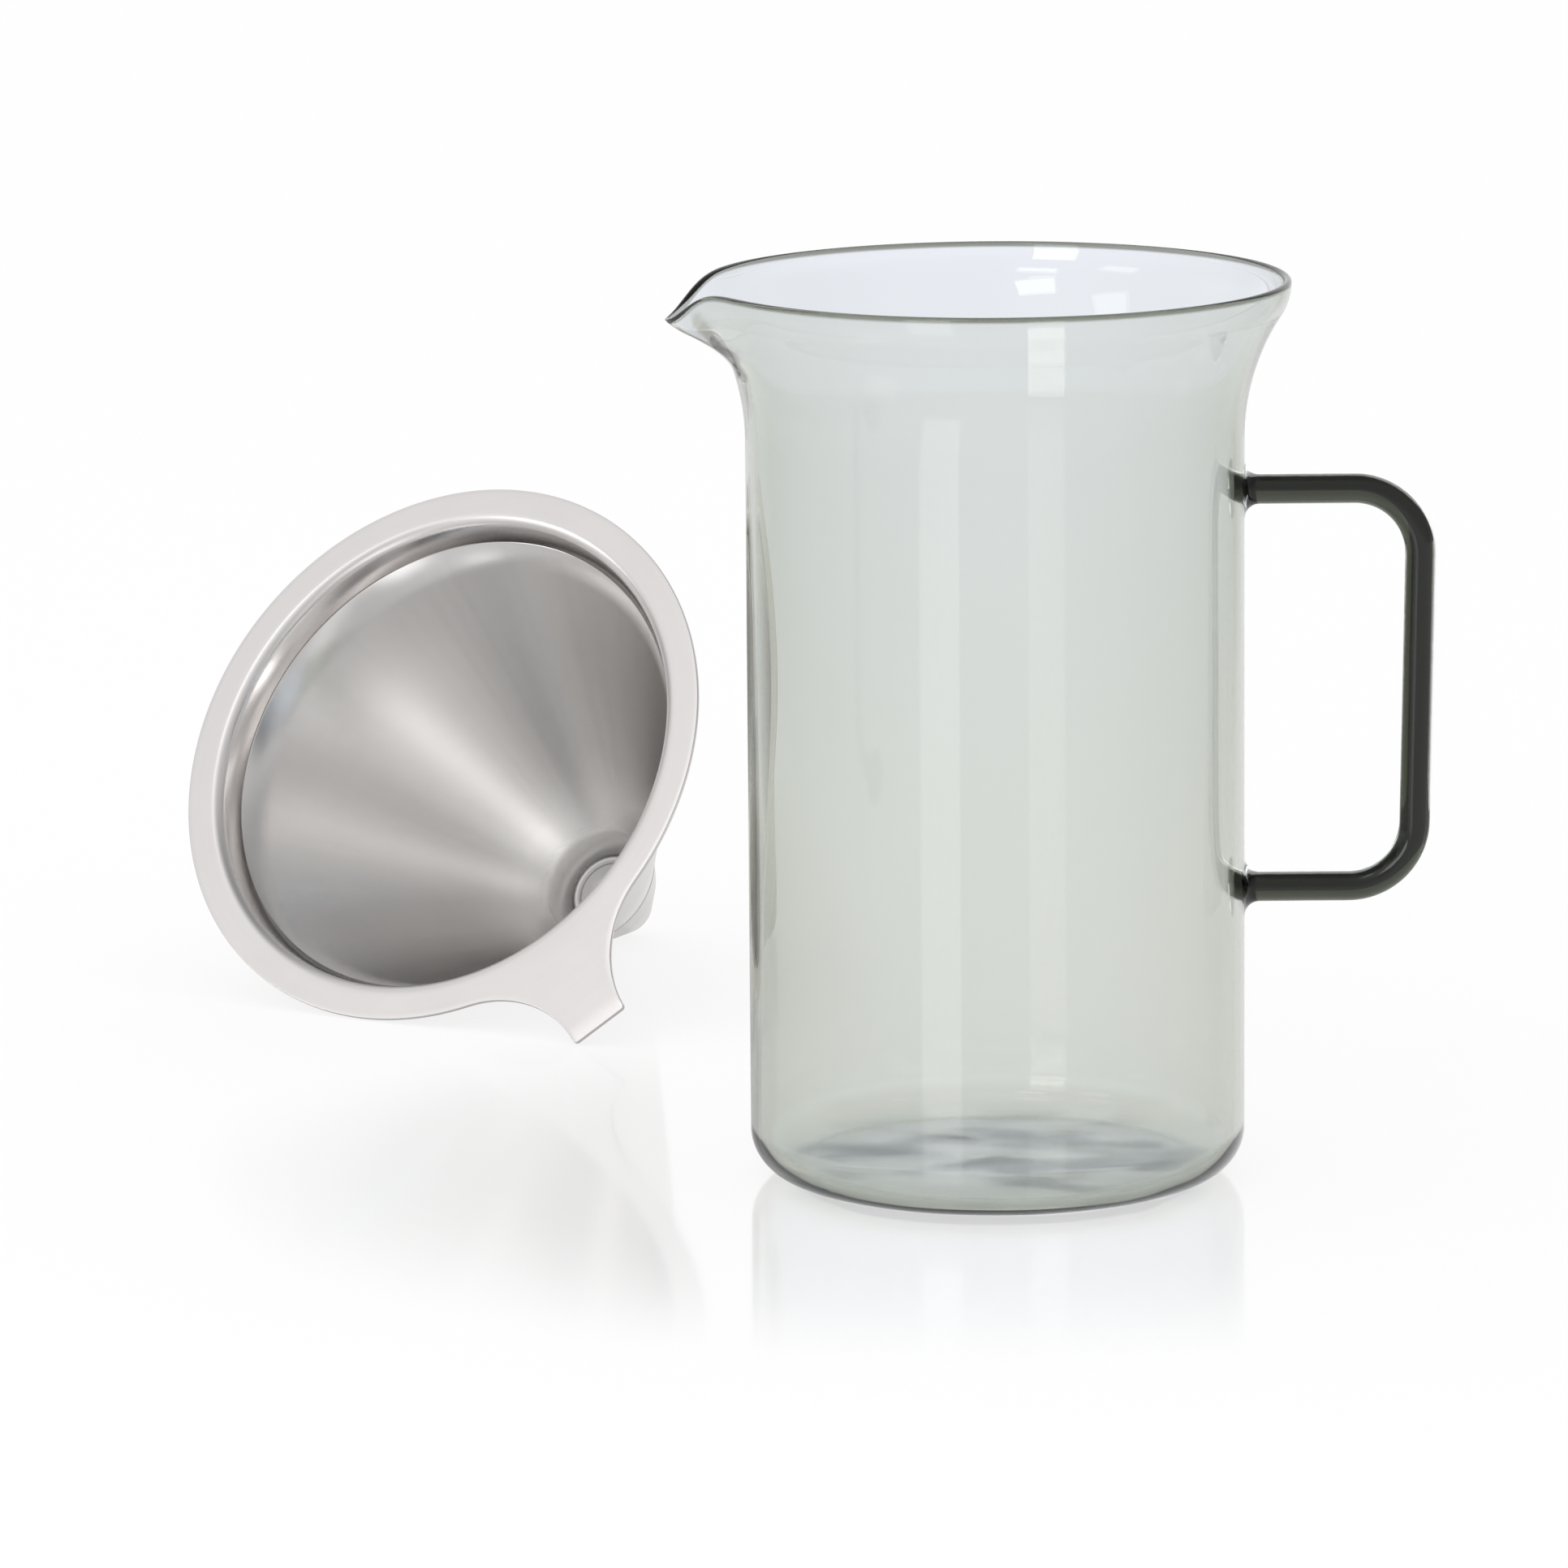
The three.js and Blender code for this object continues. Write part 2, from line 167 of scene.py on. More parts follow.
def jug_section():
    lean = acos(1 - (MOUTH_RADIUS - BODY_RADIUS) / (FLARE_RADIUS + LIP_RADIUS))
    lip_height = JUG_HEIGHT - MOUTH_WALL / 2
    flare_height = lip_height - (FLARE_RADIUS + LIP_RADIUS) * sin(lean)
    inside = BODY_RADIUS - GLASS_WALL
    corner = (BODY_RADIUS - BASE_CORNER_RADIUS, BASE_CORNER_RADIUS)
    flare = (BODY_RADIUS + FLARE_RADIUS, flare_height)
    lip = (MOUTH_RADIUS - LIP_RADIUS, lip_height)
    edge = (MOUTH_RADIUS - MOUTH_WALL / 2, lip_height)
    floor = (inside - FLOOR_CORNER_RADIUS, BASE_THICKNESS + FLOOR_CORNER_RADIUS)
    thinning = [(flare[0] + (FLARE_RADIUS + wall) * cos(a), flare[1] + (FLARE_RADIUS + wall) * sin(a))
                for a, wall in zip(spread(pi - lean, pi, 24), spread(MOUTH_WALL, GLASS_WALL, 24))]
    return [
        (0.0, 0.0),
        *run((0, 0), (corner[0], 0), 4),
        *arc(corner, BASE_CORNER_RADIUS, -pi / 2, 0, 14),
        *run((BODY_RADIUS, corner[1]), (BODY_RADIUS, flare_height), 10),
        *arc(flare, FLARE_RADIUS, pi, pi - lean, 24),
        *arc(lip, LIP_RADIUS, -lean, 0, 12)[1:],
        *arc(edge, MOUTH_WALL / 2, 0, pi, 14)[1:-1],
        *arc(lip, LIP_RADIUS - MOUTH_WALL, 0, -lean, 12),
        *thinning[1:],
        *run((inside, flare_height), (inside, floor[1]), 10),
        *arc(floor, FLOOR_CORNER_RADIUS, 0, -pi / 2, 14),
        *run((floor[0], BASE_THICKNESS), (0, BASE_THICKNESS), 16),
        (0.0, BASE_THICKNESS),
    ]


def blown(angle, radius, height):
    """The lip pulled out along two tangents to the spout's tip and dipped towards it; an uneven floor."""
    if radius < BODY_RADIUS - GLASS_WALL and 0 < height < BASE_THICKNESS + FLOOR_CORNER_RADIUS:
        fade = 1 - (radius / (BODY_RADIUS - GLASS_WALL)) ** 4
        across, along = radius * cos(angle) / FLOOR_SWELL_SPAN[0], radius * sin(angle) / FLOOR_SWELL_SPAN[1]
        swell = FLOOR_SWELL * noise.noise((across, along, FLOOR_SWELL_START))
        return radius, height + swell * fade
    share = min(1.0, max(0.0, (height - JUG_HEIGHT + SPOUT_HEIGHT) / SPOUT_HEIGHT))
    rise = share ** SPOUT_FADE
    turn = atan2(sin(angle - pi), cos(angle - pi))
    tangent = acos(MOUTH_RADIUS / (MOUTH_RADIUS + SPOUT_REACH))
    beak = max(0.0, tangent - hypot(turn, SPOUT_TIP_ROUNDING))
    push = MOUTH_RADIUS * (1 / cos(beak) - 1) * rise
    dip = SPOUT_DROP * exp(-((turn / SPOUT_SPREAD) ** 2)) * rise
    return radius + push, height - dip


def jug_angles():
    """Finer steps through the spout than round the rest of the mouth."""
    half = radians(42)
    return spread(pi - half, pi + half, 96)[:-1] + spread(pi + half, 3 * pi - half, 124)[:-1]


# Handle: a rod in the XZ plane, out, round a bend, down and back, with a trumpet at each end

def handle_rings(sides=36):
    out_top = BODY_RADIUS + FINGER_GAP + ROD_RADIUS
    out_bottom = out_top - (HANDLE_TOP - HANDLE_BOTTOM) * tan(HANDLE_LEAN)
    top_turn, bottom_turn = pi / 2 + HANDLE_LEAN, pi / 2 - HANDLE_LEAN
    top_bend = (out_top - HANDLE_BEND_RADIUS * tan(top_turn / 2), HANDLE_TOP - HANDLE_BEND_RADIUS)
    low_bend = (out_bottom - HANDLE_BEND_RADIUS * tan(bottom_turn / 2), HANDLE_BOTTOM + HANDLE_BEND_RADIUS)
    weld = [(WELD_LENGTH * (1 - cos(a)), ROD_RADIUS + (WELD_RADIUS - ROD_RADIUS) * (1 - sin(a)))
            for a in spread(0, pi / 2, 12)]
    weld.insert(0, (-WELD_DEPTH, WELD_RADIUS))
    line = [(BODY_RADIUS + s, HANDLE_TOP, pi / 2, r, s) for s, r in weld]
    line += [(x, HANDLE_TOP, pi / 2, ROD_RADIUS, x - BODY_RADIUS)
             for x in spread(BODY_RADIUS + WELD_LENGTH, top_bend[0], 8)[1:-1]]
    for a in spread(pi / 2, pi / 2 - top_turn, 28):
        line.append((top_bend[0] + HANDLE_BEND_RADIUS * cos(a), top_bend[1] + HANDLE_BEND_RADIUS * sin(a),
                     a, ROD_RADIUS, FINGER_GAP))
    for a in spread(-pi / 2 + bottom_turn, -pi / 2, 28):
        line.append((low_bend[0] + HANDLE_BEND_RADIUS * cos(a), low_bend[1] + HANDLE_BEND_RADIUS * sin(a),
                     a, ROD_RADIUS, FINGER_GAP))
    line += [(x, HANDLE_BOTTOM, -pi / 2, ROD_RADIUS, x - BODY_RADIUS)
             for x in spread(low_bend[0], BODY_RADIUS + WELD_LENGTH, 8)[1:-1]]
    line += [(BODY_RADIUS + s, HANDLE_BOTTOM, -pi / 2, r, s) for s, r in reversed(weld)]
    rings = []
    for x, z, facing, radius, stand in line:
        hug = min(1.0, max(0.0, 1 - stand / (2 * WELD_LENGTH)))
        ring = []
        for a in round_angles(sides):
            side, out = radius * sin(a), radius * cos(a)
            sag = (BODY_RADIUS - sqrt(BODY_RADIUS ** 2 - side ** 2)) * hug
            ring.append((x + out * cos(facing) - sag, side, z + out * sin(facing)))
        rings.append(ring)
    ends = [[tuple(sum(c) / sides for c in zip(*ring))] for ring in (rings[0], rings[-1])]
    return [ends[0], *rings, ends[1]]


# Filter: the rim's collar hangs inside the lip and leads out over a bend to the flat flange

BEND_CENTRE = (COLLAR_TOP + (COLLAR_BEND_RADIUS - RIM_SHEET) * cos(COLLAR_TAPER), -COLLAR_BEND_RADIUS)


def bend_arc(radius, steps=14):
    return arc(BEND_CENTRE, radius, pi / 2, pi - COLLAR_TAPER, steps)


def collar_foot(radius):
    r, z = bend_arc(radius)[-1]
    return r - (COLLAR_DEPTH + z) * tan(COLLAR_TAPER)


COLLAR_OUTSIDE = collar_foot(COLLAR_BEND_RADIUS - RIM_SHEET)
COLLAR_INSIDE = collar_foot(COLLAR_BEND_RADIUS)
CONE_TOP = COLLAR_DEPTH + SHEET_GAP


def cone_radius(depth, inwards):
    """Radius at a depth of a skin set in from the outer cone's outside."""
    skin_radius = COLLAR_OUTSIDE + CONE_LAP - (depth - CONE_TOP) * tan(CONE_HALF_ANGLE)
    return skin_radius - inwards / cos(CONE_HALF_ANGLE)


FOOT_CORNER = (
    cone_radius(FOOT_DEPTH - FOOT_CORNER_RADIUS, FOOT_CORNER_RADIUS - FOOT_WALL - SHEET_GAP),
    FOOT_CORNER_RADIUS - FOOT_DEPTH,
)


def rest_angle():
    """Rise of the lying filter's axis: its flange and its foot are both on the table."""
    out, along = FLANGE_RADIUS - FOOT_CORNER[0], -FOOT_CORNER[1] - RIM_SHEET
    return acos(FOOT_CORNER_RADIUS / hypot(out, along)) - atan2(along, out)


FILTER_RISE = rest_angle()
FILTER_HEIGHT = FLANGE_RADIUS * cos(FILTER_RISE) + RIM_SHEET * sin(FILTER_RISE)
FILTER_CENTRE = Vector((FILTER_X, FILTER_Y, FILTER_HEIGHT))
FILTER_EULER = (pi / 2 - FILTER_RISE, 0.0, -FILTER_TURN)
LYING = (Matrix.Translation(FILTER_CENTRE) @ Matrix.Rotation(FILTER_EULER[2], 4, "Z")
         @ Matrix.Rotation(FILTER_EULER[0], 4, "X"))


def tab_clock():
    """Angle of the tab from the flange's lowest point: its corner is on the table too."""
    reach, corner = TAB_END - TAB_CORNER_RADIUS, TAB_HALF_WIDTH - TAB_CORNER_RADIUS
    return acos((FLANGE_RADIUS - TAB_CORNER_RADIUS) / hypot(reach, corner)) + atan2(corner, reach)


def rim_outline():
    """Flange edge and pull tab, as points in the flange's plane with the tab along +X."""
    shoulder, corner = TAB_END - TAB_CORNER_RADIUS, TAB_HALF_WIDTH - TAB_CORNER_RADIUS
    reach_gap = shoulder ** 2 + TAB_HALF_WIDTH ** 2 - FLANGE_RADIUS ** 2
    sweep = reach_gap / (2 * (FLANGE_RADIUS - TAB_HALF_WIDTH))
    root = atan2(TAB_HALF_WIDTH + sweep, shoulder)
    side = arc((shoulder, TAB_HALF_WIDTH + sweep), sweep, -pi / 2, root - pi, 30)
    half = [
        *[(TAB_END, y) for y in spread(0, corner, 5)],
        *arc((shoulder, corner), TAB_CORNER_RADIUS, 0, pi / 2, 8)[1:],
        *side[1:],
        *arc((0, 0), FLANGE_RADIUS, root, pi, 84)[1:],
    ]
    return half + [(x, -y) for x, y in half[-2:0:-1]]


def rim_rings():
    outline = rim_outline()
    count = len(outline)
    normals = []
    for i in range(count):
        (ax, ay), (bx, by) = outline[i - 1], outline[(i + 1) % count]
        length = hypot(bx - ax, by - ay)
        normals.append(((by - ay) / length, (ax - bx) / length))
    heading = tab_clock() - pi / 2
    bearings = [atan2(y, x) for x, y in outline]

    def circle(radius, height):
        return [(radius * cos(b), radius * sin(b), height) for b in bearings]

    def edge(inset, height):
        return [(x - nx * inset, y - ny * inset, height) for (x, y), (nx, ny) in zip(outline, normals)]

    def between(a, b, steps):
        return [[tuple(p + (q - p) * f for p, q in zip(u, v)) for u, v in zip(a, b)]
                for f in spread(0, 1, steps)]

    def rounded(start, end, height):
        return [edge(RIM_EDGE * (1 - cos(a)), height + RIM_EDGE * sin(a)) for a in spread(start, end, 4)]

    top = between(circle(BEND_CENTRE[0], 0), edge(RIM_EDGE, 0), 6)
    under = between(edge(RIM_EDGE, -RIM_SHEET), circle(BEND_CENTRE[0], -RIM_SHEET), 6)
    lip = RIM_SHEET * COLLAR_FOOT_ROUNDING
    foot = arc(((COLLAR_INSIDE + COLLAR_OUTSIDE) / 2, lip - COLLAR_DEPTH), lip, 0, -pi, 8)
    rings = [
        *top[:-1],
        *rounded(pi / 2, 0, -RIM_EDGE),
        *rounded(0, -pi / 2, RIM_EDGE - RIM_SHEET),
        *under[1:],
        *[circle(r, z) for r, z in bend_arc(COLLAR_BEND_RADIUS - RIM_SHEET)[1:]],
        *[circle(r, z) for r, z in foot],
        *[circle(r, z) for r, z in reversed(bend_arc(COLLAR_BEND_RADIUS)[1:])],
    ]
    place = LYING @ Matrix.Rotation(heading, 4, "Z")
    return [[place @ Vector(point) for point in ring] for ring in rings]


def cone_section(top, bottom, outside, inside):
    """A band of cone with its two skins and round edges."""
    edge = 0.3 * (inside - outside)
    corners = [(cone_radius(d, s), -d) for d, s in (
        (top + edge, outside), (top, outside + edge),
        (top, inside - edge), (top + edge, inside),
        (bottom - edge, inside), (bottom, inside - edge),
        (bottom, outside + edge), (bottom - edge, outside))]
    down = run(corners[3], corners[4], 12)
    up = run(corners[7], corners[0], 12)
    return [*corners[:4], *down, *corners[4:], *up]


def foot_section():
    """A cup whose brim thins out onto the cone."""
    top = FOOT_DEPTH - FOOT_CUP_HEIGHT
    floor = FOOT_DEPTH - FOOT_WALL
    full = top + FOOT_BRIM_LENGTH
    brim = [(cone_radius(full - FOOT_BRIM_LENGTH * f, (SHEET_GAP + FOOT_WALL) * (f - 1) - FOOT_BRIM_EDGE),
             -full + FOOT_BRIM_LENGTH * f) for f in spread(0, 1, 8)]
    return [
        (0.0, -FOOT_DEPTH),
        *run((0, -FOOT_DEPTH), (FOOT_CORNER[0], -FOOT_DEPTH), 3),
        *arc(FOOT_CORNER, FOOT_CORNER_RADIUS, -pi / 2, -CONE_HALF_ANGLE, 10),
        *brim,
        (cone_radius(top, -FOOT_BRIM_SEAT), -top),
        (cone_radius(full, -SHEET_GAP), -full),
        (cone_radius(floor, -SHEET_GAP), -floor),
        (0.0, -floor),
    ]


def cap_section():
    floor = MESH_DEPTH + CAP_DROP
    edge = cone_radius(floor + CAP_SHEET, OUTER_CONE_WALL + SHEET_GAP)
    bead = (edge - CAP_LEDGE - CAP_BEAD_RADIUS - CAP_SHEET / 2, -floor)
    under = arc(bead, CAP_BEAD_RADIUS - CAP_SHEET / 2, pi, 0, 10)
    return [
        (0.0, -floor - CAP_SHEET),
        *[(r, z - CAP_SHEET) for r, z in under],
        (edge, -floor - CAP_SHEET),
        (edge, -floor),
        *arc(bead, CAP_BEAD_RADIUS + CAP_SHEET / 2, 0, pi, 16),
        (0.0, -floor),
    ]


# Shader wiring

class Wire:
    """A socket of a shader tree; arithmetic on values adds Math nodes to the tree."""

    def __init__(self, finish, socket):
        self.finish, self.socket = finish, socket

    def maths(self, operation, first, second):
        return self.finish.node("ShaderNodeMath", {"operation": operation}, {0: first, 1: second})

    def __add__(self, other):
        return self.maths("ADD", self, other)

    def __sub__(self, other):
        return self.maths("SUBTRACT", self, other)

    def __rsub__(self, other):
        return self.maths("SUBTRACT", other, self)

    def __mul__(self, other):
        return self.maths("MULTIPLY", self, other)

    def __truediv__(self, other):
        return self.maths("DIVIDE", self, other)

    def __pow__(self, other):
        return self.maths("POWER", self, other)

    __radd__ = __add__
    __rmul__ = __mul__


class Finish:
    """The node tree of a material or of the world."""

    def __init__(self, owner):
        owner.use_nodes = True
        self.owner, self.tree = owner, owner.node_tree
        self.tree.nodes.clear()

    def node(self, kind, settings=None, inputs=None, out=0):
        made = self.tree.nodes.new(kind)
        for key, value in (settings or {}).items():
            setattr(made, key, value)
        for key, value in (inputs or {}).items():
            if isinstance(value, Wire):
                self.tree.links.new(value.socket, made.inputs[key])
            else:
                made.inputs[key].default_value = value
        return Wire(self, made.outputs[out]) if made.outputs else None

    def sine(self, value):
        return self.node("ShaderNodeMath", {"operation": "SINE"}, {0: value})

    def mixed(self, factor, first, second):
        return self.node("ShaderNodeMix", {"data_type": "RGBA"}, {0: factor, 6: first, 7: second}, out=2)

    def noise(self, place, scale, detail=2.0):
        return self.node("ShaderNodeTexNoise", None, {"Vector": place, "Scale": scale, "Detail": detail})

    def parts(self, place):
        return [self.node("ShaderNodeSeparateXYZ", None, {"Vector": place}, out=i) for i in range(3)]

    def stretched(self, place, scale):
        return self.node("ShaderNodeMapping", None, {"Vector": place, "Scale": scale})

    def bump(self, height, strength, distance):
        return self.node("ShaderNodeBump", None, {
            "Height": height, "Strength": strength, "Distance": distance})


def new_finish(name):
    return Finish(bpy.data.materials.new(name))


def eased(finish, value, start, end, low, high):
    return finish.node("ShaderNodeMapRange", {"interpolation_type": "SMOOTHSTEP"}, {
        "Value": value, "From Min": start, "From Max": end, "To Min": low, "To Max": high})


# Glass

CLEAR = (1.0, 1.0, 1.0, 1.0)
# Painted shade: a dark colour on the mouth's rounded edge, standing in for the darkening seen down the
# length of the wall.
LIP_PAINTED_SHADE = (0.3, 0.31, 0.27, 1.0)
# Painted shade: a grey laid in noise patches over the middle of the jug's base.
BASE_PAINTED_SHADE = (0.28, 0.31, 0.30, 1.0)


def mark_lip(piece, section, count):
    """Marks the rounded edge of the mouth, where the eye looks down the length of the wall; the glass
    finish paints shade there.
    """
    edge = piece.data.attributes.new("lip_edge", "FLOAT", "POINT")
    for ring, (radius, height) in enumerate(section[1:]):
        if height > JUG_HEIGHT - MOUTH_WALL / 2 - 0.01:
            for spot in range(1 + ring * count, 1 + (ring + 1) * count):
                edge.data[spot].value = 1.0


def glass_finish(name, tint, density, waviness):
    """Blown glass: smoke in its volume, a faint draw along the surface, painted shade in dark patches low
    in the base and a painted dark line along the lip.
    """
    finish = new_finish(name)
    place = finish.node("ShaderNodeTexCoord", out=3)
    drawn = finish.noise(finish.stretched(place, (1.0, 1.0, 0.12)), 38.0, 1.5)
    slow = finish.noise(place, 9.0, 1.0)
    normal = finish.bump(drawn * 0.6 + slow, waviness, 0.0006)
    haze = finish.noise(place, 160.0, 2.0)
    edge = finish.node("ShaderNodeAttribute", {"attribute_name": "lip_edge"}, out=2)
    x, y, z = finish.parts(place)
    # Painted shade: noise patches darken the base colour in the middle of the base, below 9 mm.
    uneven = finish.noise(finish.stretched(place, (0.8, 1.5, 1.0)), 42.0, 1.5)
    shade_patches = eased(finish, uneven, 0.44, 0.6, 0.0, 0.75)
    middle = eased(finish, (x * x + y * y) ** 0.5, 0.036, 0.052, 1.0, 0.0)
    base_only = middle * eased(finish, z, 0.004, 0.009, 1.0, 0.0)
    patch_shaded = finish.mixed(shade_patches * base_only, CLEAR, BASE_PAINTED_SHADE)
    surface = finish.node("ShaderNodeBsdfPrincipled", None, {
        # Painted shade: the lip edge takes the dark lip colour.
        "Base Color": finish.mixed(edge, patch_shaded, LIP_PAINTED_SHADE),
        "Roughness": 0.004 + haze * 0.01,
        "IOR": 1.47,
        "Transmission Weight": 1.0,
        "Normal": normal,
    })
    smoke = finish.node("ShaderNodeVolumeAbsorption", None, {"Color": (*tint, 1.0), "Density": density})
    finish.node("ShaderNodeOutputMaterial", None, {"Surface": surface, "Volume": smoke})
    return finish.owner


# Steel, in the filter's own frame

# Painted light: a near-white colour that lightens the deep tip of the cone, where shade falls.
TIP_PAINTED_LIGHT = (0.98, 0.97, 0.96, 1.0)


def filter_place(finish):
    """A point's place in the filter's frame: its axis along Z, the flange at zero."""
    place = finish.node("ShaderNodeTexCoord", out=3)
    return finish.node("ShaderNodeMapping", {"vector_type": "TEXTURE"}, {
        "Vector": place, "Location": FILTER_CENTRE * MM, "Rotation": FILTER_EULER})


def polar(finish, place):
    x, y, z = finish.parts(place)
    bearing = finish.node("ShaderNodeMath", {"operation": "ARCTAN2"}, {0: y, 1: x})
    return bearing, (x * x + y * y) ** 0.5, z


def shaded(colour, share):
    return (*(min(1.0, c * share) for c in colour), 1.0)


def satin_steel(name, colour, roughness, grain, polish=0.0):
    """Brushed sheet: a fine grain, cloudy colour and faint turning lines; polished below the flange."""
    finish = new_finish(name)
    place = filter_place(finish)
    bearing, radius, depth = polar(finish, place)
    cloud = finish.noise(place, 60.0, 3.0)
    speck = finish.noise(place, 2600.0, 2.0)
    lines = finish.noise(finish.node("ShaderNodeCombineXYZ", None, {
        0: radius * 900.0, 1: bearing * 2.0, 2: depth * 900.0}), 1.0, 2.0)
    shade = cloud * 0.5 + lines * 0.3 + speck * 0.2
    base = finish.mixed(shade, shaded(colour, 0.94), shaded(colour, 1.06))
    below = eased(finish, depth, -0.0018, -0.0006, polish, 0.0)
    surface = finish.node("ShaderNodeBsdfPrincipled", None, {
        "Base Color": base,
        "Metallic": 1.0,
        "Roughness": (roughness - 0.05 + shade * 0.1) - below,
        "Normal": finish.bump(speck * 0.7 + lines * 0.3, grain, 0.00006),
    })
    finish.node("ShaderNodeOutputMaterial", None, {"Surface": surface})
    return finish.owner


def woven_steel(name, colour, roughness, pitch):
    """Fine woven wire round a cone: one set of wires down the slope, one set round it; painted light
    lightens the deep tip.
    """
    finish = new_finish(name)
    place = filter_place(finish)
    bearing, radius, depth = polar(finish, place)
    rings = finish.sine(depth * (2 * pi / (pitch * MM * cos(CONE_HALF_ANGLE))))
    spokes = finish.sine(bearing * round(2 * pi * 30.0 / pitch))
    weave = rings * spokes * 0.5 + 0.5
    cloud = finish.noise(place, 45.0, 3.0)
    drawn = finish.noise(finish.node("ShaderNodeCombineXYZ", None, {
        0: bearing * 14.0, 1: depth * 9.0, 2: 0.0}), 1.0, 3.0)
    shade = cloud * 0.35 + drawn * 0.35 + weave * 0.3
    plain = finish.mixed(shade, shaded(colour, 0.88), shaded(colour, 1.1))
    # Painted light: towards the tip the colour turns near-white and the metallic eases down, lightening the
    # shaded recess.
    base = finish.mixed(eased(finish, depth, -0.088, -0.06, 0.75, 0.0), plain, TIP_PAINTED_LIGHT)
    surface = finish.node("ShaderNodeBsdfPrincipled", None, {
        "Base Color": base,
        "Metallic": eased(finish, depth, -0.089, -0.076, 0.45, 1.0),
        "Roughness": roughness - 0.06 + shade * 0.12,
        "Normal": finish.bump(weave, 0.12, 0.00004),
    })
    finish.node("ShaderNodeOutputMaterial", None, {"Surface": surface})
    return finish.owner


# Studio

NEAR_LIGHT = (0.965, 0.98, 1.07, 1.0)
FAR_LIGHT = (0.98, 1.02, 1.23, 1.0)
SIDE_LIGHT = (0.60, 0.60, 0.55, 1.0)
RIGHT_LIGHT = (0.47, 0.48, 0.44, 1.0)
DIM_LIGHT = (0.58, 0.575, 0.57, 1.0)


def ray_kinds(finish):
    """Which kind of ray asks: from the eye, mirrored or let through."""
    camera, glossy, through = (finish.node("ShaderNodeLightPath", out=i) for i in (0, 3, 6))
    return camera, glossy * (1.0 - through), through


def pale_floor():
    """A large table that reads white, keeps a soft shadow and mirrors the jug's foot."""
    shell = bmesh.new()
    bmesh.ops.create_grid(shell, x_segments=2, y_segments=2, size=9.0)
    mesh = bpy.data.meshes.new("table")
    shell.to_mesh(mesh)
    shell.free()
    table = bpy.data.objects.new("table", mesh)
    table.location.z = -0.0002
    bpy.context.scene.collection.objects.link(table)
    finish = new_finish("white_table")
    camera, mirrored, through = ray_kinds(finish)
    x, y, _ = finish.parts(finish.node("ShaderNodeTexCoord", out=3))
    round_jug = (x * x + y * y) ** 0.5
    near = eased(finish, round_jug, 0.09, 0.19, 0.3, 0.0)
    mirror = camera * near + (1.0 - camera) * 0.3
    behind = finish.mixed(eased(finish, y, 0.2, 1.1, 0.0, 1.0), NEAR_LIGHT, FAR_LIGHT)
    far = finish.mixed(eased(finish, (x * x) ** 0.5, 0.25, 0.8, 0.0, 1.0), behind, SIDE_LIGHT)
    far = finish.mixed(eased(finish, x, 0.2, 0.6, 0.0, 1.0), far, RIGHT_LIGHT)
    aside = ((x + 0.24) * (x + 0.24) + (y - 0.08) * (y - 0.08)) ** 0.5
    dim = finish.mixed(mirrored * eased(finish, aside, 0.16, 0.32, 1.0, 0.0), CLEAR, DIM_LIGHT)
    glow = finish.node("ShaderNodeEmission", None, {
        "Color": finish.mixed(through, dim, far), "Strength": 1.02})
    matt = finish.node("ShaderNodeBsdfDiffuse", None, {"Color": (0.88, 0.88, 0.88, 1.0)})
    sheen = finish.node("ShaderNodeBsdfGlossy", None, {"Color": (1.0, 1.0, 1.0, 1.0), "Roughness": 0.08})
    under = through * eased(finish, round_jug, 0.032, 0.058, 1.0, 0.9)
    share = (camera + under) * 0.8 + mirrored
    lit = finish.node("ShaderNodeMixShader", None, {0: share, 1: matt, 2: glow})
    polished = finish.node("ShaderNodeMixShader", None, {0: mirror, 1: lit, 2: sheen})
    finish.node("ShaderNodeOutputMaterial", None, {"Surface": polished})
    table.data.materials.append(finish.owner)
    return table


def studio_world():
    """White for the eye; what mirrors and bends light sees a white backdrop in a greyer room."""
    world = bpy.data.worlds.new("studio")
    bpy.context.scene.world = world
    finish = Finish(world)
    way = finish.node("ShaderNodeTexCoord", out=0)
    across, depth, height = finish.parts(way)
    camera, mirrored, through = ray_kinds(finish)
    backdrop = eased(finish, depth, 0.55, 0.9, 0.0, 0.6)
    front = eased(finish, depth, -0.6, -0.15, 0.22, 0.0)
    high = eased(finish, height, 0.85, 1.0, 1.0, 0.6)
    left = eased(finish, across, -0.4, 0.1, 0.4, 0.0) * eased(finish, height, 0.25, 0.55, 0.0, 1.0)
    overhead = eased(finish, height, 0.15, 0.5, 0.0, 0.97)
    ceiling = 1.0 - overhead * eased(finish, depth, 0.0, 0.5, 1.0, 0.0)
    room = (0.4 + backdrop + front + left) * high
    level = 1.0 - mirrored * (1.0 - room) - through * (1.0 - ceiling)
    background = finish.node("ShaderNodeBackground", None, {
        "Color": finish.mixed(through, CLEAR, FAR_LIGHT), "Strength": level})
    finish.node("ShaderNodeOutputWorld", None, {"Surface": background})


def soft_box(name, place, aim, size, radiance, only=()):
    """A rectangular lamp that shows in reflections; of the given pieces only, where some are given."""
    lamp = bpy.data.lights.new(name, "AREA")
    lamp.shape, lamp.size, lamp.size_y = "RECTANGLE", *size
    lamp.energy = radiance * pi * size[0] * size[1]
    lamp.diffuse_factor = 0.15
    holder = bpy.data.objects.new(name, lamp)
    holder.location = place
    holder.rotation_euler = (Vector(aim) - Vector(place)).to_track_quat("-Z", "Y").to_euler()
    holder.visible_camera = False
    bpy.context.scene.collection.objects.link(holder)
    if only:
        lit = bpy.data.collections.new(name + "_pieces")
        for piece in only:
            lit.objects.link(piece)
        holder.light_linking.receiver_collection = lit


CAMERA_PLACE = (-0.046572, -2.103765, 0.475059)
CAMERA_PITCH = radians(10.449)
CAMERA_ROLL = radians(-0.481)
SENSOR_WIDTH = 36.0
FOCAL_LENGTH = 12008.2 / 1932 * SENSOR_WIDTH


